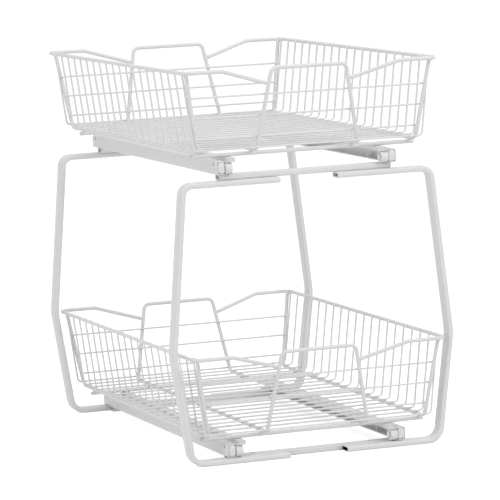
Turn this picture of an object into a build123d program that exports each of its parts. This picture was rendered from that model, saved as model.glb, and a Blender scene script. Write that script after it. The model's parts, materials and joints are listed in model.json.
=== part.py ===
from build123d import *
import os
from math import cos, hypot, sin, tan, pi

# A free-standing two-tier organiser for a kitchen cabinet. Two hoops of flat oval tube
# carry a pair of roller slides at each level, and a wire basket pulls out on each pair.
# Millimetres, +Z up, the baskets pull out towards -Y. The origin is at the bottom
# centre of the whole object's box.

# ---- Driving dimensions: bent tube hoops -------------------------------------------
tube_thickness = 6.5        # in the plane of the hoop
tube_depth = 17.5           # front to back
tube_corner_radius = 2.2
tube_corner_chords = 1
tube_wall = 1.2
tube_open_depth = 24.0      # how far the bore of an open tube end is cut
hoop_height = 334.0
hoop_top_width = 319.4      # outside, where the leg's line meets the top arm's
hoop_knee_width = 358.0     # outside, at the widest point
hoop_foot_width = 321.8     # outside, where the leg's line meets the foot's
knee_height = 132.0
arm_gap = 73.0              # between the open ends of the left and right arms
hoop_spacing = 467.0        # outside of front hoop to outside of back hoop
top_bend_radius = 12.0      # centre line
knee_bend_radius = 45.0
foot_bend_radius = 17.0

# ---- Driving dimensions: crossbars ---------------------------------------------------
crossbar_depth = 12.7
crossbar_rise = 0.5         # how far a crossbar stands above the tube it lies beside
crossbar_lap = 6.3          # how far a top crossbar reaches over the arm under it
crossbar_corner_radius = 1.4
crossbar_wall = 1.2
crossbar_end_inset = 4.5    # from the rail's outside to the crossbar's end
screw_hole_radius = 2.25    # in the lower crossbars, for screws into a cabinet floor
screw_hole_spacing = 150.0

# ---- Driving dimensions: slides ------------------------------------------------------
rail_spacing = 227.0        # outside of left rail to outside of right rail
rail_gauge = 1.2            # sheet thickness of rails and runners
rail_channel_depth = 10.0   # across the flanges
rail_corner_cut = 1.6
rail_end_inset = 5.5        # from the hoop's outside to the rail's end
rail_hole_width = 3.6       # square hole punched near each end of a rail's web
rail_hole_inset = 11.0      # from the rail's end to the small hole in its web
front_roller_radius = 7.0
front_roller_width = 8.5
front_pin_inset = 4.5       # from the rail's front end to the front roller's pin
rear_roller_radius = 6.6
rear_roller_width = 7.0
roller_side_gap = 0.6
roller_lift = 0.2           # front roller above the rail's underside
roller_floor_gap = 0.1      # running gaps, roller to track
roller_top_gap = 0.3
pin_radius = 2.5
pin_fit = 0.05              # radial clearance of a roller on its pin
pin_head_radius = 3.8
pin_head_height = 0.9
runner_width = 11.8
runner_height = 5.2
runner_top_width = 9.0
runner_rail_gap = 0.7       # between the rail's flanges and the runner's edge
runner_front_reach = 230.0  # from the basket's middle
runner_rear_reach = 203.0
hanger_length = 18.0        # tab at the runner's rear end that holds the rear roller
hanger_drop = 12.0
stop_gap = 1.0              # rear roller to the stops that end the travel
stop_height = 5.0
basket_travel = 350.0

# ---- Driving dimensions: wire baskets ------------------------------------------------
heavy_wire = 4.8
fine_wire = 2.3
weld_gap = 0.1              # between wires that cross and are welded
rim_height = 129.5          # rim wire's centre above the level's base
rim_width = 318.4           # centre to centre of the rim's side runs
rim_depth = 507.0
rim_corner_radius = 11.0
rim_level_width = 224.0     # where the rim starts to dip towards the handle
rim_dip = 17.5
rim_bend_radius = 14.0
basket_set_back = 0.6       # closed basket's middle behind the hoops' middle
floor_width = 276.0         # centre to centre of the side frames' bottom runs
floor_depth = 462.0         # between the end walls' lines at the floor
wall_depth = 490.0          # between the end walls' lines at the rim's height
post_bend_radius = 10.0
post_tuck = 0.85            # a post's head clear of the rim's bend beside it
bottom_bar_overhang = 5.0
front_bar_reach = 213.4     # from the basket's middle to a bottom bar
back_bar_reach = 188.9
handle_top_width = 93.4
handle_floor_width = 128.0
handle_bend_radius = 8.0
side_wire_pitch = 25.0
side_wire_count = 20
side_wire_clearance = 2.2   # a side wire's foot beyond the side frame it crosses
side_wire_bend = 5.0
side_wire_tip = 1.5         # above the rim's centre
wall_wire_heights = (49.5, 74.5, 99.0)
wall_wire_overhang = 1.0
fine_sides = 6              # flats on a fine wire
heavy_sides = 8
bend_chord = 32.0           # degrees that one straight chord of a heavy wire's bend turns
pin_sides = 12               # flats on a pin, and on the hole it is pressed into

# ---- Heights and places that follow ----------------------------------------------------
LEFT, RIGHT = -1, 1
FRONT, BACK = -1, 1
SIDES = {"left": LEFT, "right": RIGHT}
ENDS = {"front": FRONT, "back": BACK}
LEVELS = {"lower": 0.0, "upper": hoop_height}

hoop_half = hoop_spacing / 2
tube_inner_face = hoop_half - tube_depth
crossbar_height = tube_thickness + crossbar_rise
rail_half = rail_spacing / 2
crossbar_half_length = rail_half - crossbar_end_inset

rail_bottom = crossbar_height
rail_height = 2 * (rail_gauge + rear_roller_radius) + roller_floor_gap + roller_top_gap
rail_end = hoop_half - rail_end_inset
rail_mouth = rail_half - rail_channel_depth
rear_pin_height = rail_bottom + rail_gauge + roller_floor_gap + rear_roller_radius
front_pin_height = rail_bottom + roller_lift + front_roller_radius
front_pin_y = -rail_end + front_pin_inset
front_roller_outer = rail_mouth - roller_side_gap
front_roller_inner = front_roller_outer - front_roller_width
track_height = front_pin_height + front_roller_radius + roller_floor_gap
runner_outer = rail_mouth - runner_rail_gap
runner_inner = runner_outer - runner_width
rear_roller_inner = rail_mouth + roller_side_gap
rear_roller_outer = rear_roller_inner + rear_roller_width
rear_pin_reach = runner_rear_reach - hanger_length / 2
rear_pin_y = rear_pin_reach + basket_set_back

wire_step = (heavy_wire + fine_wire) / 2 + weld_gap
heavy_step = heavy_wire + weld_gap
bar_height = track_height + runner_height + heavy_wire / 2 + weld_gap
run_height = bar_height + heavy_step
floor_wire_height = run_height + wire_step
post_rim_side = rim_width / 2 - heavy_step - post_tuck
side_wire_foot = floor_width / 2 + wire_step + side_wire_clearance
side_wire_head = rim_width / 2 - wire_step


def end_wall_reach(height):
    """How far the plane of posts and handle legs lies from the basket's middle, at a height."""
    share = (height - run_height) / (rim_height - run_height)
    return (floor_depth + share * (wall_depth - floor_depth)) / 2


def handle_half_width(height):
    share = (height - run_height) / (rim_height - run_height)
    return (handle_floor_width + share * (handle_top_width - handle_floor_width)) / 2


def post_half_width(height):
    share = (height - run_height) / (rim_height - run_height)
    return floor_width / 2 + share * (post_rim_side - floor_width / 2)


# ---- Wires -----------------------------------------------------------------------------
def round_section(path, diameter, sides):
    plane = Plane(origin=path @ 0, z_dir=path % 0)
    return plane * RegularPolygon(diameter / 2, sides, major_radius=True)


def chorded_bend(before, corner, after, radius):
    """Points along a bend of the wire, tangent to its two runs, one chord at a time."""
    arriving = (Vector(*corner) - Vector(*before)).normalized()
    leaving = (Vector(*after) - Vector(*corner)).normalized()
    turn = arriving.get_angle(leaving)
    chords = max(1, round(turn / bend_chord))
    start = Vector(*corner) - arriving * radius * tan(turn * pi / 360)
    inward = (leaving - arriving * arriving.dot(leaving)).normalized()
    points = []
    for i in range(chords + 1):
        angle = turn * pi / 180 * i / chords
        points.append(start + arriving * radius * sin(angle) + inward * radius * (1 - cos(angle)))
    return points


def bent_wire(points, radii, diameter):
    """A heavy wire along straight runs joined by bends, mitred at each chord."""
    line = [Vector(*points[0])]
    for i, radius in enumerate(radii, start=1):
        line += chorded_bend(points[i - 1], points[i], points[i + 1], radius)
    line.append(Vector(*points[-1]))
    path = Polyline(*line)
    return sweep(round_section(path, diameter, heavy_sides), path=path, transition=Transition.RIGHT)


def straight_wire(start, end, diameter, sides):
    path = Line(start, end)
    return sweep(round_section(path, diameter, sides), path=path)


def chamfered_corner(before, corner, after, radius):
    """Two points that cut a bend's corner with one chord."""
    points = []
    for other in (before, after):
        run = Vector(*other) - Vector(*corner)
        points.append(Vector(*corner) + run.normalized() * radius * 0.7)
    return points


def side_wire(y):
    """One fine wire: down the left wall, across the floor and up the right wall."""
    tip = rim_height + side_wire_tip
    left_tip = (-side_wire_head, y, tip)
    left_foot = (-side_wire_foot, y, floor_wire_height)
    right_foot = (side_wire_foot, y, floor_wire_height)
    right_tip = (side_wire_head, y, tip)
    points = [Vector(*left_tip)]
    points += chamfered_corner(left_tip, left_foot, right_foot, side_wire_bend)
    points += chamfered_corner(left_foot, right_foot, right_tip, side_wire_bend)
    points += [Vector(*right_tip)]
    path = Polyline(*points)
    section = round_section(path, fine_wire, fine_sides)
    return sweep(section, path=path, transition=Transition.RIGHT)


def pin_disc(first, last, radius):
    """Length of a pin, or its head, from one x to the other."""
    section = Plane(origin=(first, 0, 0), z_dir=(1, 0, 0)) * RegularPolygon(radius, pin_sides)
    return extrude(section, amount=last - first)


# ---- Basket pieces, about the basket's middle and the level's base -----------------------
def rim(side):
    end = rim_dip_end()
    level = rim_level_width / 2
    reach = rim_depth / 2
    half = rim_width / 2
    points = [
        (side * end[0], FRONT * end[1], end[2]),
        (side * level, FRONT * reach, rim_height),
        (side * half, FRONT * reach, rim_height),
        (side * half, BACK * reach, rim_height),
        (side * level, BACK * reach, rim_height),
        (side * end[0], BACK * end[1], end[2]),
    ]
    radii = [rim_bend_radius, rim_corner_radius, rim_corner_radius, rim_bend_radius]
    return bent_wire(points, radii, heavy_wire)


def rim_dip_end():
    """Where the dipped end of a rim meets the handle's leg: half width, reach, height."""
    height = rim_height - rim_dip
    half = handle_half_width(height) + heavy_wire / 2 + 2 * weld_gap
    reach = end_wall_reach(height)
    slope = hypot(rim_dip, rim_depth / 2 - reach) / (rim_level_width / 2 - half)
    return half + slope * heavy_wire / 2, reach, height


def side_frame(side):
    """Front post, bottom run and back post, bent from one wire inside the rim."""
    head = (side * post_rim_side, wall_depth / 2, rim_height)
    foot = (side * floor_width / 2, floor_depth / 2, run_height)
    points = [
        (head[0], FRONT * head[1], head[2]),
        (foot[0], FRONT * foot[1], foot[2]),
        (foot[0], BACK * foot[1], foot[2]),
        (head[0], BACK * head[1], head[2]),
    ]
    return bent_wire(points, [post_bend_radius, post_bend_radius], heavy_wire)


def handle_loop():
    """One closed wire: front handle, two floor runs and the back handle."""
    top = handle_top_width / 2
    foot = handle_floor_width / 2
    rim_reach = wall_depth / 2
    foot_reach = floor_depth / 2
    right_half = [
        (0, FRONT * rim_reach, rim_height),
        (top, FRONT * rim_reach, rim_height),
        (foot, FRONT * foot_reach, run_height),
        (foot, BACK * foot_reach, run_height),
        (top, BACK * rim_reach, rim_height),
        (0, BACK * rim_reach, rim_height),
    ]
    half = bent_wire(right_half, [handle_bend_radius] * 4, heavy_wire)
    return half + mirror(half, about=Plane.YZ)


def bottom_bar(end):
    half = floor_width / 2 + bottom_bar_overhang
    y = -front_bar_reach if end == FRONT else back_bar_reach
    return straight_wire((-half, y, bar_height), (half, y, bar_height), heavy_wire, heavy_sides)


def side_wires():
    first = -(side_wire_count - 1) / 2
    places = [(first + i) * side_wire_pitch for i in range(side_wire_count)]
    return [side_wire(y) for y in places]


def wall_wires(end):
    wires = []
    for height in wall_wire_heights:
        half = post_half_width(height) + wall_wire_overhang
        y = end * (end_wall_reach(height) - wire_step)
        wires.append(straight_wire((-half, y, height), (half, y, height), fine_wire, fine_sides))
    return wires


def runner(side):
    """Channel under the basket, with a hanger for the rear roller at its back end."""
    bottom = track_height
    top = track_height + runner_height
    length = runner_front_reach + runner_rear_reach
    outline = Polyline(
        (runner_outer, bottom),
        (runner_inner, bottom),
        (runner_inner, top),
        (runner_inner + runner_top_width, top),
        (runner_inner + runner_top_width, top - rail_gauge),
        (runner_inner + rail_gauge, top - rail_gauge),
        (runner_inner + rail_gauge, bottom + rail_gauge),
        (runner_outer, bottom + rail_gauge),
        close=True,
    )
    plane = Plane(origin=(0, -runner_front_reach, 0), x_dir=(1, 0, 0), z_dir=(0, -1, 0))
    body = extrude(plane * make_face(outline), amount=-length)
    hanger = Box(
        rail_gauge, hanger_length, hanger_drop + rail_gauge,
        align=(Align.MAX, Align.MAX, Align.MAX),
    ).moved(Location((runner_outer, runner_rear_reach, bottom + rail_gauge)))
    lower_edges = hanger.edges().filter_by(Axis.X).group_by(Axis.Z)[0]
    hanger = chamfer(lower_edges, hanger_length / 5)
    hole = pin_disc(runner_outer - 2 * rail_gauge, runner_outer + rail_gauge, pin_radius).moved(
        Location((0, rear_pin_reach, rear_pin_height)))
    return to_side(body + hanger - hole, side)


# ---- Slide pieces, about the hoops' middle and the level's base ---------------------------
def to_side(shape, side):
    return shape if side == RIGHT else mirror(shape, about=Plane.YZ)


def fixed_rail(side):
    top = rail_bottom + rail_height
    web = rail_half
    mouth = rail_mouth
    outline = Polyline(
        (mouth, rail_bottom),
        (web, rail_bottom),
        (web, top),
        (mouth, top),
        (mouth, top - rail_gauge),
        (web - rail_gauge, top - rail_gauge),
        (web - rail_gauge, rail_bottom + rail_gauge),
        (mouth, rail_bottom + rail_gauge),
        close=True,
    )
    plane = Plane(origin=(0, rail_end, 0), x_dir=(1, 0, 0), z_dir=(0, -1, 0))
    body = extrude(plane * make_face(outline), amount=2 * rail_end)
    corners = body.edges().filter_by(Axis.Y).group_by(Axis.X)
    body = chamfer(corners[-1], rail_corner_cut)
    inner = body.edges().filter_by(Axis.Y).filter_by_position(
        Axis.X, web - rail_gauge - 0.01, web - rail_gauge + 0.01)
    body = chamfer(inner, rail_corner_cut - rail_gauge * (2 - 2 ** 0.5))
    middle = (rail_bottom + top) / 2
    for y in (-rail_end + rail_hole_inset, rail_end - rail_hole_inset):
        body -= Box(3 * rail_gauge, rail_hole_width, rail_hole_width).moved(
            Location((web - rail_gauge / 2, y, middle + rail_height / 4)))
    body -= pin_disc(web - 2 * rail_gauge, web + rail_gauge, pin_radius).moved(
        Location((0, front_pin_y, front_pin_height)))
    closed = rear_pin_y + rear_roller_radius + stop_gap
    opened = rear_pin_y - basket_travel - rear_roller_radius - stop_gap - rail_gauge
    for y in (closed, opened):
        body += Box(
            rail_channel_depth - rail_gauge, rail_gauge, stop_height,
            align=(Align.MAX, Align.MIN, Align.MIN),
        ).moved(Location((web - rail_gauge, y, rail_bottom + rail_gauge)))
    return to_side(body, side)


def roller(outer, inner, radius):
    """Plain roller between two faces of the slide, with a bore for its pin."""
    width = outer - inner
    tread = Cylinder(radius, width) - Cylinder(pin_radius + pin_fit, width)
    return tread.moved(Location(((outer + inner) / 2, 0, 0), (0, 90, 0)))


def pin(first, last):
    """Pin with a low head at its inner end."""
    return pin_disc(first, last, pin_radius) + pin_disc(first, first + pin_head_height, pin_head_radius)


def front_roller(side):
    shape = roller(front_roller_outer, front_roller_inner, front_roller_radius)
    return to_side(shape.moved(Location((0, front_pin_y, front_pin_height))), side)


def front_pin(side):
    inner = front_roller_inner - roller_side_gap / 2 - pin_head_height
    shape = pin(inner, rail_half)
    return to_side(shape.moved(Location((0, front_pin_y, front_pin_height))), side)


def rear_roller(side):
    shape = roller(rear_roller_outer, rear_roller_inner, rear_roller_radius)
    return to_side(shape.moved(Location((0, rear_pin_reach, rear_pin_height))), side)


def rear_pin(side):
    inner = runner_outer - rail_gauge - pin_head_height
    outer = rear_roller_outer + roller_side_gap / 2
    shape = pin(inner, outer)
    return to_side(shape.moved(Location((0, rear_pin_reach, rear_pin_height))), side)


# ---- Hoop pieces ---------------------------------------------------------------------------
def soft_rectangle(width, height, radius, chords):
    """Rectangle whose corners turn along chords of an arc of this radius."""
    points = []
    for quarter, (sx, sy) in enumerate(((1, 1), (-1, 1), (-1, -1), (1, -1))):
        for i in range(chords + 1):
            angle = (quarter + i / chords) * pi / 2
            points.append((
                sx * (width / 2 - radius) + radius * cos(angle),
                sy * (height / 2 - radius) + radius * sin(angle),
            ))
    return make_face(Polyline(*points, close=True))


def tube_section(plane, shrink):
    return plane * soft_rectangle(
        tube_depth - 2 * shrink,
        tube_thickness - 2 * shrink,
        tube_corner_radius - shrink,
        tube_corner_chords,
    )


def hoop_half_tube(side, end):
    """Arm, leg and foot bent from one length of tube, open at both ends."""
    inset = tube_thickness / 2
    path = FilletPolyline(
        (arm_gap / 2, 0, hoop_height - inset),
        (hoop_top_width / 2 - inset, 0, hoop_height - inset),
        (hoop_knee_width / 2 - inset, 0, knee_height),
        (hoop_foot_width / 2 - inset, 0, inset),
        (arm_gap / 2, 0, inset),
        radius=[top_bend_radius, knee_bend_radius, foot_bend_radius],
    )
    start = Plane(origin=path @ 0, x_dir=(0, 1, 0), z_dir=path % 0)
    finish = Plane(origin=path @ 1, x_dir=(0, 1, 0), z_dir=-(path % 1))
    body = sweep(tube_section(start, 0), path=path)
    for plane in (start, finish):
        body -= extrude(tube_section(plane, tube_wall), amount=tube_open_depth)
    return to_side(body, side).moved(Location((0, end * (hoop_half - tube_depth / 2), 0)))


def crossbar(level, end):
    """Hollow bar between the rails; only a lower one has holes for floor screws."""
    lap = crossbar_lap if level == "upper" else 0.0
    y = end * (tube_inner_face + lap - crossbar_depth / 2)
    plane = Plane(origin=(-crossbar_half_length, y, crossbar_height / 2), x_dir=(0, 1, 0), z_dir=(1, 0, 0))
    outer = soft_rectangle(crossbar_depth, crossbar_height, crossbar_corner_radius, 1)
    inner = Rectangle(crossbar_depth - 2 * crossbar_wall, crossbar_height - 2 * crossbar_wall)
    body = extrude(plane * (outer - inner), amount=2 * crossbar_half_length)
    if level == "lower":
        for x in (-screw_hole_spacing / 2, screw_hole_spacing / 2):
            body -= Cylinder(screw_hole_radius, 2 * crossbar_height).moved(
                Location((x, y, crossbar_height / 2)))
    return body


# ---- Placing and writing ---------------------------------------------------------------------
def basket_pieces():
    pieces = {
        "front_bottom_bar": bottom_bar(FRONT),
        "back_bottom_bar": bottom_bar(BACK),
        "front_wall_wires": wall_wires(FRONT),
        "back_wall_wires": wall_wires(BACK),
        "cross_wires": side_wires(),
        "handle_loop": handle_loop(),
    }
    for name, side in SIDES.items():
        pieces[name + "_rim"] = rim(side)
        pieces[name + "_side_frame"] = side_frame(side)
        pieces[name + "_runner"] = runner(side)
        pieces[name + "_rear_roller"] = rear_roller(side)
        pieces[name + "_rear_pin"] = rear_pin(side)
    return pieces


def slide_pieces():
    pieces = {}
    for name, side in SIDES.items():
        pieces[name + "_rail"] = fixed_rail(side)
        pieces[name + "_front_roller"] = front_roller(side)
        pieces[name + "_front_pin"] = front_pin(side)
    return pieces


basket_half_depth = (rim_depth + heavy_wire) / 2
front_extent = basket_half_depth - basket_set_back
back_extent = basket_half_depth + basket_set_back
middle_shift = (front_extent - back_extent) / 2


def write(name, shape, y, z):
    solids = shape if isinstance(shape, list) else [shape]
    placed = [solid.moved(Location((0, y + middle_shift, z))) for solid in solids]
    whole = placed[0] if len(placed) == 1 else Compound(children=placed)
    export_step(whole, f"parts/{name}.step")


def main():
    os.makedirs("parts", exist_ok=True)
    for end_name, end in ENDS.items():
        for side_name, side in SIDES.items():
            write(f"{end_name}_{side_name}_leg", hoop_half_tube(side, end), 0, 0)
    basket = basket_pieces()
    slides = slide_pieces()
    for level, base in LEVELS.items():
        for end_name, end in ENDS.items():
            write(f"{level}_{end_name}_crossbar", crossbar(level, end), 0, base)
        for name, shape in slides.items():
            write(f"{level}_{name}", shape, 0, base)
        for name, shape in basket.items():
            write(f"{level}_{name}", shape, basket_set_back, base)
    print("rim dip end", [round(v, 2) for v in rim_dip_end()])
    print("rear pin", round(rear_pin_y + middle_shift, 3), round(rear_pin_height, 3))
    print("front pin", round(front_pin_y + middle_shift, 3), round(front_pin_height, 3))
    print("middle shift", round(middle_shift, 3))


main()
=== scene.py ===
import json
from math import acos, ceil, cos, hypot, pi, radians, sin, tan

import bmesh
import bpy
from mathutils import Matrix, Vector

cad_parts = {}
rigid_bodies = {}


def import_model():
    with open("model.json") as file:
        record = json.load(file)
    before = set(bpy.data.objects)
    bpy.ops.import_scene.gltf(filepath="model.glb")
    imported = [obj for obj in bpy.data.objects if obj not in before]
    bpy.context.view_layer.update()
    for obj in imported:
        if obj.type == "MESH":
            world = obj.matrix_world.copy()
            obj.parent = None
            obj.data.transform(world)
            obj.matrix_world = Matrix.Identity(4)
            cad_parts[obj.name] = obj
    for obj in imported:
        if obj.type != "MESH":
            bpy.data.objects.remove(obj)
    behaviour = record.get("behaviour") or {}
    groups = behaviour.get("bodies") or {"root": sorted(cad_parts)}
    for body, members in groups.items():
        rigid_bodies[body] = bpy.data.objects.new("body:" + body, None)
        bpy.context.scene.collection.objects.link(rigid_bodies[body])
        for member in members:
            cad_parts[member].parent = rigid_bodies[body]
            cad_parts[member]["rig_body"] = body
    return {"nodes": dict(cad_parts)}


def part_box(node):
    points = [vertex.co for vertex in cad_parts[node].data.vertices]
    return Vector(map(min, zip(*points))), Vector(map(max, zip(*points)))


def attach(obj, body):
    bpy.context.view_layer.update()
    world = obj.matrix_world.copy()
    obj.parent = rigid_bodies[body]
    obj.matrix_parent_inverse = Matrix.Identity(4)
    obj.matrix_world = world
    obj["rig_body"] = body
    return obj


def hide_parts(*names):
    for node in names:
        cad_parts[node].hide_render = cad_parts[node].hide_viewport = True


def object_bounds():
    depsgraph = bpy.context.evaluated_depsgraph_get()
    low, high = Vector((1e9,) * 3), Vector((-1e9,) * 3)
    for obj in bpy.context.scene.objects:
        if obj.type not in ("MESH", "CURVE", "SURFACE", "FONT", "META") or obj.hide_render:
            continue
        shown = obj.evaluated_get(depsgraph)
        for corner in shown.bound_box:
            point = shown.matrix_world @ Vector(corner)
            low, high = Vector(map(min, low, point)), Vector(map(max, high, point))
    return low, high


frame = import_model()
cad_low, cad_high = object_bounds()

# A two-tier organiser: hoops of flat oval tube, roller slides and two wire baskets.
# The script works in millimetres of the part's own frame and scales to metres when a
# mesh is made. LEVELS holds the height of each level's base.

MM = 0.001

# ---- Sizes of the bent pieces ---------------------------------------------------------
HEAVY_WIRE = 4.8
FINE_WIRE = 2.3
WELD_GAP = 0.1
WIRE_STEP = (HEAVY_WIRE + FINE_WIRE) / 2 + WELD_GAP
RIM_HEIGHT = 129.5
RIM_WIDTH = 318.4
RIM_DEPTH = 507.0
RIM_CORNER = 11.0
RIM_LEVEL_WIDTH = 224.0
RIM_DIP = 17.5
RIM_BEND = 14.0
FLOOR_WIDTH = 276.0
FLOOR_DEPTH = 462.0
POST_BEND = 10.0
POST_TUCK = 0.85
WALL_DEPTH = 490.0
SIDE_WIRE_CLEARANCE = 2.2
HANDLE_TOP = 93.4
HANDLE_FLOOR = 128.0
HANDLE_BEND = 8.0
SIDE_WIRE_PITCH = 25.0
SIDE_WIRE_COUNT = 20
SIDE_WIRE_BEND = 5.0
SIDE_WIRE_TIP = 1.5
WALL_WIRE_HEIGHTS = (49.5, 74.5, 99.0)
WALL_WIRE_OVERHANG = 1.0
TUBE_THICKNESS = 6.5
TUBE_DEPTH = 17.5
TUBE_CORNER = 2.2
TUBE_WALL = 1.2
HOOP_HEIGHT = 334.0
HOOP_TOP_WIDTH = 319.4
HOOP_KNEE_WIDTH = 358.0
HOOP_FOOT_WIDTH = 321.8
KNEE_HEIGHT = 132.0
TOP_BEND = 12.0
KNEE_BEND = 45.0
FOOT_BEND = 17.0
ARM_GAP = 73.0
SHEET = 1.2
END_CAP_GAP = 0.4
END_CAP_STATIONS = ((-1.6, 0.72), (-1.1, 0.88), (-0.2, 0.98), (0.8, 1.0), (16.0, 1.0))
END_CAP_CORNER = 2.4
END_CAP_BOSS = 9.6
END_CAP_BOSS_DEPTH = 2.0
RUNNER_TOP_WIDTH = 9.0
RUNNER_HEIGHT = 5.2
HANGER_LENGTH = 18.0
RUNNER_END_INSET = 0.3   # from the runner's front end to its web and plug
WEB_END_GAP = 0.5        # from the web's back end to the hanger
WEB_CORNER = 0.2
PLUG_DEPTH = 1.2
PLUG_CORNER = 0.3
ARM_BORE = 60.0          # how far into an arm's open end the eye can see
FOOT_BORE = 2.5          # a foot's end looks shut, so it has only a shallow hollow
LEVELS = {"lower": 0.0, "upper": HOOP_HEIGHT}
SIDES = {"left": -1, "right": 1}
ENDS = {"front": -1, "back": 1}
FLOOR_RUNS = (-FLOOR_WIDTH / 2, -HANDLE_FLOOR / 2, HANDLE_FLOOR / 2, FLOOR_WIDTH / 2)
ACROSS = Vector((1, 0, 0))
FRONT_TO_BACK = Vector((0, 1, 0))
UPWARD = Vector((0, 0, 1))

# ---- Weld beads: radius, and the share of it that is left when squeezed -----------------
RIM_END_WELD = (2.5, 0.9)
POST_HEAD_WELD = (2.1, 0.7)
BAR_WELD = (2.2, 0.6)
FINE_WELD = (1.35, 0.6)
RIM_END_WELD_INSET = 1.6
POST_HEAD_RISES = (-1.4, 1.0)    # two beads up the seam, from the rim's centre

# ---- Fineness of the meshes -------------------------------------------------------------
HEAVY_SIDES = 18
FINE_SIDES = 12
BOSS_SIDES = 24
HEAVY_TURN = 6.0         # degrees of a bend from one ring to the next
FINE_TURN = 10.0
TUBE_TURN = 4.0
FEWEST_ARC_STEPS = 3
OVAL_STEPS = 5           # in each rounded corner of a tube's section
WELD_SEGMENTS = 10
WELD_RINGS = 6
MITRE_LIMIT = 0.5        # keeps a ring from growing without end in a sharp corner
SHARP_EDGE = 40.0        # degrees, above which an edge is shaded sharp
CUT_END_SHARE = 0.72     # a cut wire's flat end, as a share of its diameter
CUT_EDGE_SHARE = 0.14    # the rounded edge's length, likewise


def node_box(node):
    """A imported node's lowest and highest corner in millimetres."""
    low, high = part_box(node)
    return low / MM, high / MM


def basket_middle(level):
    """The basket's middle, front to back, where it stands at rest."""
    low, high = node_box(level + "_left_rim")
    return (low.y + high.y) / 2


bar_low, bar_high = node_box("lower_front_bottom_bar")
BAR_HEIGHT = (bar_low.z + bar_high.z) / 2
RUN_HEIGHT = BAR_HEIGHT + HEAVY_WIRE + WELD_GAP
FLOOR_WIRE_HEIGHT = RUN_HEIGHT + WIRE_STEP


# ---- Shader expressions -----------------------------------------------------------------
class Value:
    """A socket of a material's node tree. Arithmetic on it adds Math nodes."""

    def __init__(self, tree, socket):
        self.tree = tree
        self.socket = socket

    def math(self, operation, first, second=0.0):
        return self.tree.node("Math", {"operation": operation}, {0: first, 1: second})

    def __add__(self, other):
        return self.math("ADD", self, other)

    def __radd__(self, other):
        return self.math("ADD", other, self)

    def __mul__(self, other):
        return self.math("MULTIPLY", self, other)

    def __rmul__(self, other):
        return self.math("MULTIPLY", other, self)


class Shader:
    """The node tree of a material or a world. One method adds a node of any type."""

    def __init__(self, owner):
        self.owner = owner
        self.owner.use_nodes = True
        self.tree = owner.node_tree
        self.tree.nodes.clear()

    def node(self, kind, settings=None, inputs=None, output=0):
        made = self.tree.nodes.new("ShaderNode" + kind)
        for name, value in (settings or {}).items():
            if name == "stops":
                self.set_stops(made.color_ramp, value)
            else:
                setattr(made, name, value)
        for key, value in (inputs or {}).items():
            if isinstance(value, Value):
                self.tree.links.new(value.socket, made.inputs[key])
            else:
                made.inputs[key].default_value = value
        return Value(self, made.outputs[output]) if len(made.outputs) else None

    @staticmethod
    def set_stops(ramp, stops):
        while len(ramp.elements) < len(stops):
            ramp.elements.new(0.5)
        for element, (place, tone) in zip(ramp.elements, stops):
            element.position = place
            element.color = tone

    def surface(self, shader, output="OutputMaterial"):
        self.node(output, inputs={"Surface": shader})
        return self.owner


def grey(level):
    return (level, level, level, 1.0)


def object_place(shader):
    return shader.node("TexCoord", output="Object")


def noise(shader, place, scale, detail=2.0, roughness=0.5):
    return shader.node("TexNoise", inputs={
        "Vector": place, "Scale": scale, "Detail": detail, "Roughness": roughness})


# ---- Finishes ------------------------------------------------------------------------------
def powder_coat(name, tone, peel):
    """White baked powder: a soft orange peel, slight drift in tone and in gloss."""
    shader = Shader(bpy.data.materials.new(name))
    place = object_place(shader)
    drift = noise(shader, place, 9.0, 3.0)
    pebble = noise(shader, place, 850.0, 1.5)
    speck = noise(shader, place, 3200.0, 0.0)
    colour = shader.node("ValToRGB", {"stops": [
        (0.30, grey(tone * 0.965)), (0.70, grey(tone))]}, {"Fac": drift * 0.8 + pebble * 0.2})
    height = pebble * 0.8 + speck * 0.2
    bump = shader.node("Bump", inputs={
        "Strength": peel, "Distance": 0.00006, "Height": height})
    coat = shader.node("BsdfPrincipled", inputs={
        "Base Color": colour,
        "Roughness": 0.30 + pebble * 0.14 + drift * 0.06,
        "IOR": 1.5,
        "Normal": bump,
    })
    return shader.surface(coat)


def moulded_nylon():
    """Off-white moulded plastic with faint flow marks round the part."""
    shader = Shader(bpy.data.materials.new("moulded_nylon"))
    place = object_place(shader)
    flow = noise(shader, place, 160.0, 4.0, 0.6)
    grain = noise(shader, place, 2400.0, 1.0)
    colour = shader.node("ValToRGB", {"stops": [
        (0.35, (0.78, 0.78, 0.765, 1.0)), (0.65, (0.83, 0.83, 0.82, 1.0))]}, {"Fac": flow})
    bump = shader.node("Bump", inputs={
        "Strength": 0.25, "Distance": 0.00004, "Height": grain})
    body = shader.node("BsdfPrincipled", inputs={
        "Base Color": colour,
        "Roughness": 0.42 + flow * 0.16,
        "IOR": 1.53,
        "Normal": bump,
    })
    return shader.surface(body)


def turned_steel():
    """Zinc-plated pin with fine turning marks round its axis."""
    shader = Shader(bpy.data.materials.new("turned_steel"))
    place = object_place(shader)
    stretch = shader.node("Mapping", inputs={"Vector": place, "Scale": (9000.0, 500.0, 500.0)})
    marks = noise(shader, stretch, 1.0, 2.0)
    bloom = noise(shader, place, 300.0, 2.0)
    colour = shader.node("ValToRGB", {"stops": [
        (0.3, (0.56, 0.57, 0.58, 1.0)), (0.7, (0.68, 0.68, 0.67, 1.0))]}, {"Fac": bloom})
    bump = shader.node("Bump", inputs={
        "Strength": 0.2, "Distance": 0.00003, "Height": marks})
    body = shader.node("BsdfPrincipled", inputs={
        "Base Color": colour,
        "Metallic": 1.0,
        "Roughness": 0.26 + marks * 0.18,
        "Normal": bump,
    })
    return shader.surface(body)


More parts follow.
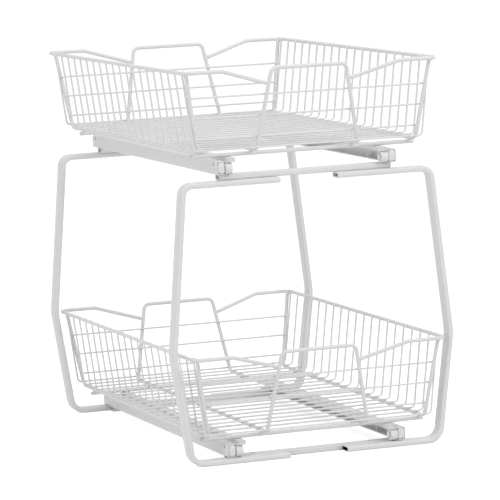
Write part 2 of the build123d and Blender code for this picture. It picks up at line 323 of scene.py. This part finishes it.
TUBE_COAT = powder_coat("tube_powder_coat", 0.80, 0.35)
WIRE_COAT = powder_coat("wire_powder_coat", 0.80, 0.25)
SLIDE_COAT = powder_coat("slide_powder_coat", 0.78, 0.30)
NYLON = moulded_nylon()
STEEL = turned_steel()


# ---- Paths -----------------------------------------------------------------------------------
def bent_path(corners, radii, turn, closed=False):
    """Points along straight runs joined by arcs, with one point each `turn` degrees."""
    count = len(corners)
    if not hasattr(radii, "__len__"):
        radii = [radii] * count
    corners = [Vector(c) for c in corners]
    path = []
    for i, corner in enumerate(corners):
        if not closed and i in (0, count - 1):
            path.append(corner)
            continue
        radius = radii[i] if closed else radii[i - 1]
        back = (corners[i - 1] - corner).normalized()
        ahead = (corners[(i + 1) % count] - corner).normalized()
        bend = pi - acos(max(-1.0, min(1.0, back.dot(ahead))))
        middle = corner + (back + ahead).normalized() * (radius / cos(bend / 2))
        start = corner + back * (radius * tan(bend / 2)) - middle
        side = corner + ahead * (radius * tan(bend / 2)) - middle
        steps = max(FEWEST_ARC_STEPS, ceil(bend / radians(turn)))
        for k in range(steps + 1):
            share = k / steps
            arm = start * sin((1 - share) * bend) + side * sin(share * bend)
            path.append(middle + arm / sin(bend))
    return path


def round_ring(diameter, sides):
    return [(cos(2 * pi * k / sides) * diameter / 2, sin(2 * pi * k / sides) * diameter / 2)
            for k in range(sides)]


def oval_ring(width, height, corner):
    """A rectangle with rounded corners, as seen along the tube."""
    ring = []
    for quarter, (sx, sy) in enumerate(((1, 1), (-1, 1), (-1, -1), (1, -1))):
        cx = sx * (width / 2 - corner)
        cy = sy * (height / 2 - corner)
        for k in range(OVAL_STEPS + 1):
            angle = (quarter + k / OVAL_STEPS) * pi / 2
            ring.append((cx + corner * cos(angle), cy + corner * sin(angle)))
    return ring


# ---- Meshes -----------------------------------------------------------------------------------
class Skin:
    """A mesh in the making, in millimetres."""

    def __init__(self):
        self.mesh = bmesh.new()

    def loop(self, centre, u, v, ring):
        return [self.mesh.verts.new(centre + u * a + v * b) for a, b in ring]

    def bridge(self, first, second):
        count = len(first)
        for k in range(count):
            after = (k + 1) % count
            self.mesh.faces.new((first[k], first[after], second[after], second[k]))

    def sweep(self, path, ring, closed=False, up=None, caps=True):
        """Carries a ring along a path, without twist, and returns its first and last loop."""
        count = len(path)
        u = None
        loops = []
        for i, point in enumerate(path):
            before = path[i - 1] if (i or closed) else point
            after = path[(i + 1) % count] if (i < count - 1 or closed) else point
            into = (point - before).normalized() if point != before else None
            out = (after - point).normalized() if after != point else None
            along = ((into or out) + (out or into)).normalized()
            if u is None:
                u = Vector(up) if up else along.orthogonal()
            u = (u - along * u.dot(along)).normalized()
            v = along.cross(u)
            if up and into and out:
                v = v * (1.0 / max(MITRE_LIMIT, along.dot(out)))
            loops.append(self.loop(point, u, v, ring))
        for first, second in zip(loops, loops[1:]):
            self.bridge(first, second)
        if closed:
            self.join_loops(loops[-1], loops[0])
        elif caps:
            self.mesh.faces.new(list(reversed(loops[0])))
            self.mesh.faces.new(loops[-1])
        return loops[0], loops[-1]

    def join_loops(self, first, second):
        """Bridges two loops whose rings may be turned against each other."""
        count = len(first)
        best = min(range(count), key=lambda s: (first[0].co - second[s].co).length)
        self.bridge(first, second[best:] + second[:best])

    def rounded_wire(self, path, diameter, sides):
        """A cut wire: its ends have a small rounded edge."""
        edge = diameter * CUT_EDGE_SHARE
        first = path[0]
        last = path[-1]
        ahead = (path[1] - first).normalized()
        back = (path[-2] - last).normalized()
        body = [first + ahead * edge] + list(path[1:-1]) + [last + back * edge]
        start, end = self.sweep(body, round_ring(diameter, sides), caps=False)
        for loop, centre, flip in ((start, first, True), (end, last, False)):
            old = sum((w.co for w in loop), Vector()) / len(loop)
            tip = [self.mesh.verts.new(centre + (w.co - old) * CUT_END_SHARE) for w in loop]
            if flip:
                self.bridge(tip, loop)
                self.mesh.faces.new(list(reversed(tip)))
            else:
                self.bridge(loop, tip)
                self.mesh.faces.new(tip)

    def weld(self, place, across, bead):
        """A small squeezed bead where two wires cross."""
        size, flat = bead
        made = bmesh.ops.create_uvsphere(
            self.mesh, u_segments=WELD_SEGMENTS, v_segments=WELD_RINGS, radius=size)["verts"]
        turn = across.to_track_quat("Z", "Y").to_matrix()
        for vert in made:
            squeezed = Vector((vert.co.x, vert.co.y, vert.co.z * flat))
            vert.co = place + turn @ squeezed

    def finish(self, name, material):
        bmesh.ops.recalc_face_normals(self.mesh, faces=self.mesh.faces)
        for vert in self.mesh.verts:
            vert.co *= MM
        for face in self.mesh.faces:
            face.smooth = True
        for edge in self.mesh.edges:
            if len(edge.link_faces) == 2 and edge.calc_face_angle(0.0) > radians(SHARP_EDGE):
                edge.smooth = False
        data = bpy.data.meshes.new(name)
        self.mesh.to_mesh(data)
        self.mesh.free()
        made = bpy.data.objects.new(name, data)
        bpy.context.scene.collection.objects.link(made)
        made.data.materials.append(material)
        return made


def dress(skin, name, node, material):
    """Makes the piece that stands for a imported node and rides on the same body."""
    piece = skin.finish(name, material)
    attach(piece, frame["nodes"][node]["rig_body"])
    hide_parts(node)
    return piece


# ---- Basket wires -------------------------------------------------------------------------------
def share_up(height):
    return (height - RUN_HEIGHT) / (RIM_HEIGHT - RUN_HEIGHT)


def wall_reach(height):
    return (FLOOR_DEPTH + share_up(height) * (WALL_DEPTH - FLOOR_DEPTH)) / 2


def handle_half(height):
    return (HANDLE_FLOOR + share_up(height) * (HANDLE_TOP - HANDLE_FLOOR)) / 2


RIM_POST_SIDE = RIM_WIDTH / 2 - HEAVY_WIRE - WELD_GAP - POST_TUCK


def post_half(height):
    return FLOOR_WIDTH / 2 + share_up(height) * (RIM_POST_SIDE - FLOOR_WIDTH / 2)


def rim_dip_end():
    height = RIM_HEIGHT - RIM_DIP
    half = handle_half(height) + HEAVY_WIRE / 2 + 2 * WELD_GAP
    reach = wall_reach(height)
    slope = hypot(RIM_DIP, RIM_DEPTH / 2 - reach) / (RIM_LEVEL_WIDTH / 2 - half)
    return half + slope * HEAVY_WIRE / 2, reach, height


def basket_point(level, x, y, z):
    return Vector((x, y + basket_middle(level), z + LEVELS[level]))


def make_rim(level, side_name):
    side = SIDES[side_name]
    half, reach, height = rim_dip_end()
    flat = RIM_LEVEL_WIDTH / 2
    corners = [(side * half, -reach, height), (side * flat, -RIM_DEPTH / 2, RIM_HEIGHT)]
    corners += [(side * RIM_WIDTH / 2, -RIM_DEPTH / 2, RIM_HEIGHT)]
    corners += [(x, -y, z) for x, y, z in reversed(corners)]
    points = [basket_point(level, *corner) for corner in corners]
    path = bent_path(points, [RIM_BEND, RIM_CORNER, RIM_CORNER, RIM_BEND], HEAVY_TURN)
    skin = Skin()
    skin.rounded_wire(path, HEAVY_WIRE, HEAVY_SIDES)
    for end in ENDS.values():
        meet = basket_point(level, side * (half - RIM_END_WELD_INSET), end * reach, height)
        skin.weld(meet, FRONT_TO_BACK, RIM_END_WELD)
        seam = side * (RIM_POST_SIDE + HEAVY_WIRE / 2)
        for rise in POST_HEAD_RISES:
            bead = basket_point(level, seam, end * WALL_DEPTH / 2, RIM_HEIGHT + rise)
            skin.weld(bead, ACROSS, POST_HEAD_WELD)
    name = f"{level}_{side_name}_rim"
    dress(skin, name + "_wire", name, WIRE_COAT)


def make_side_frame(level, side_name):
    side = SIDES[side_name]
    head = side * RIM_POST_SIDE
    foot = side * FLOOR_WIDTH / 2
    corners = [
        (head, -WALL_DEPTH / 2, RIM_HEIGHT),
        (foot, -FLOOR_DEPTH / 2, RUN_HEIGHT),
        (foot, FLOOR_DEPTH / 2, RUN_HEIGHT),
        (head, WALL_DEPTH / 2, RIM_HEIGHT),
    ]
    path = bent_path([basket_point(level, *c) for c in corners], POST_BEND, HEAVY_TURN)
    skin = Skin()
    skin.rounded_wire(path, HEAVY_WIRE, HEAVY_SIDES)
    name = f"{level}_{side_name}_side_frame"
    dress(skin, name + "_wire", name, WIRE_COAT)


def make_handle_loop(level):
    top = HANDLE_TOP / 2
    foot = HANDLE_FLOOR / 2
    front = [(-top, -WALL_DEPTH / 2, RIM_HEIGHT), (top, -WALL_DEPTH / 2, RIM_HEIGHT)]
    front += [(foot, -FLOOR_DEPTH / 2, RUN_HEIGHT)]
    back = [(foot, FLOOR_DEPTH / 2, RUN_HEIGHT)]
    back += [(top, WALL_DEPTH / 2, RIM_HEIGHT), (-top, WALL_DEPTH / 2, RIM_HEIGHT)]
    back += [(-foot, FLOOR_DEPTH / 2, RUN_HEIGHT), (-foot, -FLOOR_DEPTH / 2, RUN_HEIGHT)]
    points = [basket_point(level, *c) for c in front + back]
    path = bent_path(points, HANDLE_BEND, HEAVY_TURN, closed=True)
    skin = Skin()
    skin.sweep(path, round_ring(HEAVY_WIRE, HEAVY_SIDES), closed=True)
    name = level + "_handle_loop"
    dress(skin, name + "_wire", name, WIRE_COAT)


def make_bottom_bar(level, end_name):
    name = f"{level}_{end_name}_bottom_bar"
    low, high = node_box(name)
    y = (low.y + high.y) / 2
    z = (low.z + high.z) / 2
    skin = Skin()
    skin.rounded_wire([Vector((low.x, y, z)), Vector((high.x, y, z))], HEAVY_WIRE, HEAVY_SIDES)
    for x in FLOOR_RUNS:
        skin.weld(Vector((x, y, z + HEAVY_WIRE / 2)), UPWARD, BAR_WELD)
    dress(skin, name + "_wire", name, WIRE_COAT)


def make_cross_wires(level):
    """The fine wires that run down one side, across the floor and up the other."""
    foot = FLOOR_WIDTH / 2 + WIRE_STEP + SIDE_WIRE_CLEARANCE
    head = RIM_WIDTH / 2 - WIRE_STEP
    tip = RIM_HEIGHT + SIDE_WIRE_TIP
    skin = Skin()
    for i in range(SIDE_WIRE_COUNT):
        y = (i - (SIDE_WIRE_COUNT - 1) / 2) * SIDE_WIRE_PITCH
        corners = [(-head, y, tip), (-foot, y, FLOOR_WIRE_HEIGHT)]
        corners += [(foot, y, FLOOR_WIRE_HEIGHT), (head, y, tip)]
        points = [basket_point(level, *c) for c in corners]
        path = bent_path(points, SIDE_WIRE_BEND, FINE_TURN)
        skin.rounded_wire(path, FINE_WIRE, FINE_SIDES)
        for x in FLOOR_RUNS:
            bead = basket_point(level, x, y, FLOOR_WIRE_HEIGHT - FINE_WIRE / 2)
            skin.weld(bead, UPWARD, FINE_WELD)
        for side in SIDES.values():
            bead = basket_point(level, side * (head + FINE_WIRE / 2), y, RIM_HEIGHT)
            skin.weld(bead, ACROSS, FINE_WELD)
    name = level + "_cross_wires"
    dress(skin, name + "_fine", name, WIRE_COAT)


def make_wall_wires(level, end_name):
    end = ENDS[end_name]
    skin = Skin()
    for height in WALL_WIRE_HEIGHTS:
        half = post_half(height) + WALL_WIRE_OVERHANG
        y = end * (wall_reach(height) - WIRE_STEP)
        ends = [basket_point(level, -half, y, height), basket_point(level, half, y, height)]
        skin.rounded_wire(ends, FINE_WIRE, FINE_SIDES)
        for side in SIDES.values():
            for half_width in (handle_half(height), post_half(height)):
                bead = basket_point(level, side * half_width, y + end * FINE_WIRE / 2, height)
                skin.weld(bead, FRONT_TO_BACK, FINE_WELD)
    name = f"{level}_{end_name}_wall_wires"
    dress(skin, name + "_fine", name, WIRE_COAT)


# ---- Tube hoops ------------------------------------------------------------------------------------
def make_leg(end_name, side_name):
    """One bent tube: arm, leg and foot. The arm's end is open and the foot's nearly shut."""
    name = f"{end_name}_{side_name}_leg"
    side = SIDES[side_name]
    low, high = node_box(name)
    y = (low.y + high.y) / 2
    inset = TUBE_THICKNESS / 2
    corners = [
        (side * ARM_GAP / 2, y, HOOP_HEIGHT - inset),
        (side * (HOOP_TOP_WIDTH / 2 - inset), y, HOOP_HEIGHT - inset),
        (side * (HOOP_KNEE_WIDTH / 2 - inset), y, KNEE_HEIGHT),
        (side * (HOOP_FOOT_WIDTH / 2 - inset), y, inset),
        (side * ARM_GAP / 2, y, inset),
    ]
    path = bent_path(corners, [TOP_BEND, KNEE_BEND, FOOT_BEND], TUBE_TURN)
    skin = Skin()
    ring = oval_ring(TUBE_DEPTH, TUBE_THICKNESS, TUBE_CORNER)
    bore = oval_ring(
        TUBE_DEPTH - 2 * TUBE_WALL, TUBE_THICKNESS - 2 * TUBE_WALL, TUBE_CORNER - TUBE_WALL)
    start, end = skin.sweep(path, ring, up=FRONT_TO_BACK, caps=False)
    arm_end = (start, path[0], path[1] - path[0], ARM_BORE)
    foot_end = (end, path[-1], path[-2] - path[-1], FOOT_BORE)
    for loop, mouth, inward, depth in (arm_end, foot_end):
        along = inward.normalized()
        v = along.cross(FRONT_TO_BACK)
        lip = skin.loop(mouth, FRONT_TO_BACK, v, bore)
        bottom = skin.loop(mouth + along * depth, FRONT_TO_BACK, v, bore)
        skin.join_loops(loop, lip)
        skin.bridge(lip, bottom)
        skin.mesh.faces.new(bottom)
    dress(skin, name + "_tube", name, TUBE_COAT)


# ---- Small pieces on the slides --------------------------------------------------------------------
def slide_detail(skin, name, node, material):
    """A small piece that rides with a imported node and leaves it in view."""
    piece = skin.finish(name, material)
    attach(piece, frame["nodes"][node]["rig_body"])


def make_end_cap(level, side_name):
    """Moulded block in the rail's front end, with a boss for the roller's pin."""
    side = SIDES[side_name]
    rail = f"{level}_{side_name}_rail"
    low, high = node_box(rail)
    web = max(abs(low.x), abs(high.x)) - SHEET
    mouth = min(abs(low.x), abs(high.x))
    tall = high.z - low.z - 2 * SHEET - END_CAP_GAP
    wide = web - mouth - END_CAP_GAP
    skin = Skin()
    loops = []
    for depth, share in END_CAP_STATIONS:
        place = Vector((side * (web + mouth) / 2, low.y + depth, (low.z + high.z) / 2))
        ring = oval_ring(tall * share, wide * share, END_CAP_CORNER * share)
        loops.append(skin.loop(place, UPWARD, ACROSS, ring))
    for first, second in zip(loops, loops[1:]):
        skin.bridge(first, second)
    skin.mesh.faces.new(loops[0])
    skin.mesh.faces.new(loops[-1])
    low, high = node_box(f"{level}_{side_name}_front_roller")
    pin_y = (low.y + high.y) / 2
    pin_z = (low.z + high.z) / 2
    reaches = (END_CAP_BOSS_DEPTH, -END_CAP_GAP)
    ends = [Vector((side * (mouth + reach), pin_y, pin_z)) for reach in reaches]
    skin.rounded_wire(ends, END_CAP_BOSS, BOSS_SIDES)
    slide_detail(skin, rail + "_end_cap", rail, NYLON)


def make_runner_web(level, side_name):
    """The folded edge and end that close the runner's channel."""
    side = SIDES[side_name]
    runner = f"{level}_{side_name}_runner"
    low, high = node_box(runner)
    edge = min(abs(low.x), abs(high.x)) + RUNNER_TOP_WIDTH - SHEET / 2
    middle = high.z - RUNNER_HEIGHT / 2
    skin = Skin()
    front = low.y + RUNNER_END_INSET
    back = high.y - HANGER_LENGTH - WEB_END_GAP
    ends = [Vector((side * edge, y, middle)) for y in (front, back)]
    skin.sweep(ends, oval_ring(RUNNER_HEIGHT - 2 * SHEET, SHEET, WEB_CORNER), up=UPWARD)
    inner = min(abs(low.x), abs(high.x)) + RUNNER_TOP_WIDTH / 2 - SHEET / 4
    depths = (RUNNER_END_INSET, RUNNER_END_INSET + PLUG_DEPTH)
    plug = [Vector((side * inner, low.y + depth, middle)) for depth in depths]
    fill = oval_ring(RUNNER_HEIGHT - 2 * SHEET, RUNNER_TOP_WIDTH - 2 * SHEET, PLUG_CORNER)
    skin.sweep(plug, fill, up=UPWARD)
    slide_detail(skin, runner + "_web", runner, SLIDE_COAT)


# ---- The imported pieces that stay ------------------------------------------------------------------
def coat_packed_node(node, material):
    piece = frame["nodes"][node]
    piece.data.materials.clear()
    piece.data.materials.append(material)


for level_name in LEVELS:
    for side_key in SIDES:
        make_rim(level_name, side_key)
        make_side_frame(level_name, side_key)
        make_end_cap(level_name, side_key)
        make_runner_web(level_name, side_key)
    make_handle_loop(level_name)
    make_cross_wires(level_name)
    for end_key in ENDS:
        make_bottom_bar(level_name, end_key)
        make_wall_wires(level_name, end_key)
for end_key in ENDS:
    for side_key in SIDES:
        make_leg(end_key, side_key)

PACKED_FINISHES = {
    "_roller": (NYLON, "white_nylon"),
    "_pin": (STEEL, "plated_steel"),
    "_rail": (SLIDE_COAT, "white_slide_steel"),
    "_runner": (SLIDE_COAT, "white_slide_steel"),
    "_crossbar": (TUBE_COAT, "white_powder_coat"),
}
for node_name in frame["nodes"]:
    for ending, (finish, slot_name) in PACKED_FINISHES.items():
        if node_name.endswith(ending):
            coat_packed_node(node_name, finish)


# ---- Floor, light and camera -----------------------------------------------------------------------
FLOOR_DROP = 0.05        # under the feet, in millimetres
FLOOR_HALF = 30000
FLOOR_GLOW = 0.62        # lifts what the camera sees of the floor to white
AMBIENT_LIGHT = 0.55
SOFTBOXES = {            # place and width in metres, and power in watts
    "key_softbox": ((1.4, -2.0, 2.2), 1.4, 26.0),
    "fill_softbox": ((-2.4, -1.6, 1.2), 1.8, 14.0),
    "top_softbox": ((-0.3, 0.4, 2.6), 1.6, 12.0),
}
# The camera stands about 4.4 m away with a long lens, 0.3 m above the upper rim.
CAMERA_PLACE = Vector((-1542.568, -4107.525, 753.951)) * MM
CAMERA_YAW = 0.353027
CAMERA_PITCH = 0.112398
CAMERA_ROLL = -0.039138
FOCAL_PIXELS = 3567.626
PHOTO_WIDTH = 500.0
SENSOR_WIDTH = 36.0
CAMERA_SHIFT = (0.06209, -0.05758)


def camera_seen(shader):
    """1 for what the camera sees, also in a gloss or through glass."""
    path = shader.node("LightPath", output="Is Camera Ray")
    gloss = shader.node("LightPath", output="Is Glossy Ray")
    through = shader.node("LightPath", output="Is Transmission Ray")
    clamped_sum = {"operation": "ADD", "use_clamp": True}
    return shader.node("Math", clamped_sum, {0: path + gloss, 1: through})


def pale_floor():
    """White to the eye, with the soft shadow of what stands on it."""
    shader = Shader(bpy.data.materials.new("pale_floor"))
    place = object_place(shader)
    cloud = noise(shader, place, 1.5, 2.0)
    tones = [(0.0, grey(0.78)), (1.0, grey(0.82))]
    colour = shader.node("ValToRGB", {"stops": tones}, {"Fac": cloud})
    board = shader.node("BsdfDiffuse", inputs={"Color": colour})
    lift = shader.node("Emission", inputs={"Color": grey(1.0), "Strength": FLOOR_GLOW})
    seen = shader.node("AddShader", inputs={0: board, 1: lift})
    mixed = shader.node("MixShader", inputs={0: camera_seen(shader), 1: board, 2: seen})
    return shader.surface(mixed)


def studio_world():
    """Soft even light on the object, and white for what the camera sees."""
    shader = Shader(bpy.data.worlds.new("studio"))
    ambient = shader.node("Background", inputs={"Color": grey(1.0), "Strength": AMBIENT_LIGHT})
    backdrop = shader.node("Background", inputs={"Color": grey(1.0), "Strength": 1.0})
    mixed = shader.node("MixShader", inputs={0: camera_seen(shader), 1: ambient, 2: backdrop})
    return shader.surface(mixed, "OutputWorld")


def lay_floor():
    skin = Skin()
    corners = ((-1, -1), (1, -1), (1, 1), (-1, 1))
    skin.mesh.faces.new([
        skin.mesh.verts.new((x * FLOOR_HALF, y * FLOOR_HALF, -FLOOR_DROP)) for x, y in corners])
    return skin.finish("floor", pale_floor())


def softbox(name, place, aim, size, power):
    lamp = bpy.data.lights.new(name, "AREA")
    lamp.shape = "DISK"
    lamp.size = size
    lamp.energy = power
    stand = bpy.data.objects.new(name, lamp)
    bpy.context.scene.collection.objects.link(stand)
    stand.location = place
    stand.rotation_mode = "QUATERNION"
    stand.rotation_quaternion = (Vector(aim) - Vector(place)).to_track_quat("-Z", "Y")


def photo_camera():
    """A camera that sees the object as the photograph does."""
    ahead = Vector((sin(CAMERA_YAW) * cos(CAMERA_PITCH),
                    cos(CAMERA_YAW) * cos(CAMERA_PITCH),
                    -sin(CAMERA_PITCH)))
    level_right = Vector((cos(CAMERA_YAW), -sin(CAMERA_YAW), 0.0))
    level_up = level_right.cross(ahead)
    right = level_right * cos(CAMERA_ROLL) + level_up * sin(CAMERA_ROLL)
    up = level_up * cos(CAMERA_ROLL) - level_right * sin(CAMERA_ROLL)
    lens = bpy.data.cameras.new("photo_camera")
    lens.sensor_width = SENSOR_WIDTH
    lens.lens = SENSOR_WIDTH * (FOCAL_PIXELS / PHOTO_WIDTH)
    lens.shift_x, lens.shift_y = CAMERA_SHIFT
    lens.clip_start = 0.1
    lens.clip_end = 100.0
    camera = bpy.data.objects.new("photo_camera", lens)
    bpy.context.scene.collection.objects.link(camera)
    turn = Matrix((right, up, -ahead)).transposed().to_4x4()
    camera.matrix_world = Matrix.Translation(CAMERA_PLACE) @ turn
    return camera


floor = lay_floor()
bpy.context.scene.world = studio_world()
centre = (cad_low + cad_high) / 2
for softbox_name, (place, size, power) in SOFTBOXES.items():
    softbox(softbox_name, place, centre, size, power)
bpy.context.scene.camera = photo_camera()
bpy.context.scene.view_settings.view_transform = "Standard"
